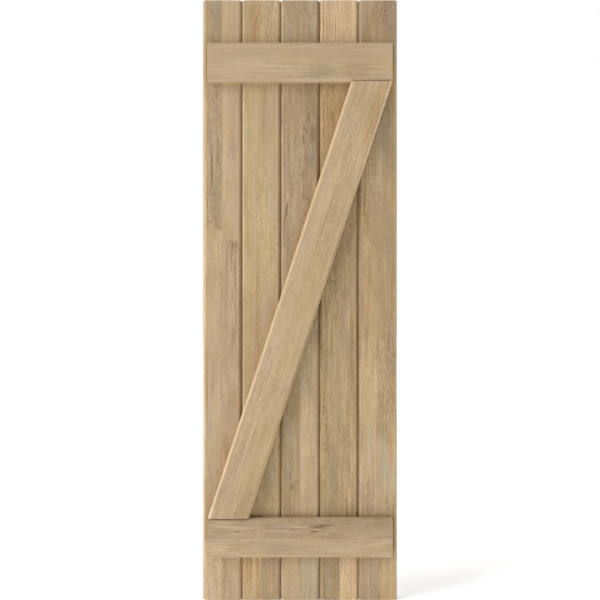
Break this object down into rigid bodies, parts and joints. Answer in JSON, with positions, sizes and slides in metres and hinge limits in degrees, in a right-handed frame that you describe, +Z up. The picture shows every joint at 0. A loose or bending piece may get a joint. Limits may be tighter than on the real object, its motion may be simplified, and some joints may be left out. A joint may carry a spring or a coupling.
{
  "type": "board and batten shutter",
  "caption": "Tall exterior window shutter of upright V-jointed boards, tied on the front by level battens at top and bottom and a diagonal brace between them.",
  "frame": {"origin": "middle of the back face, the plane that lies against the wall", "axes": "+X to the right seen from the front, +Y into the wall, +Z up; the battens and brace face -Y"},
  "size_m": [0.4444, 0.0381, 1.3716],
  "materials": {
    "boards": "unfinished, planed, edge-glued staves of mixed tan, olive and pinkish tone",
    "battens": "unfinished, planed, grain along the batten",
    "brace": "unfinished, planed, grain along the brace",
    "screws": "zinc plated"
  },
  "bodies": {
    "root": {"board_1": "boards", "board_2": "boards", "board_3": "boards", "board_4": "boards", "board_5": "boards", "top_batten": "battens", "bottom_batten": "battens", "diagonal_brace": "brace"}
  },
  "joints": []
}
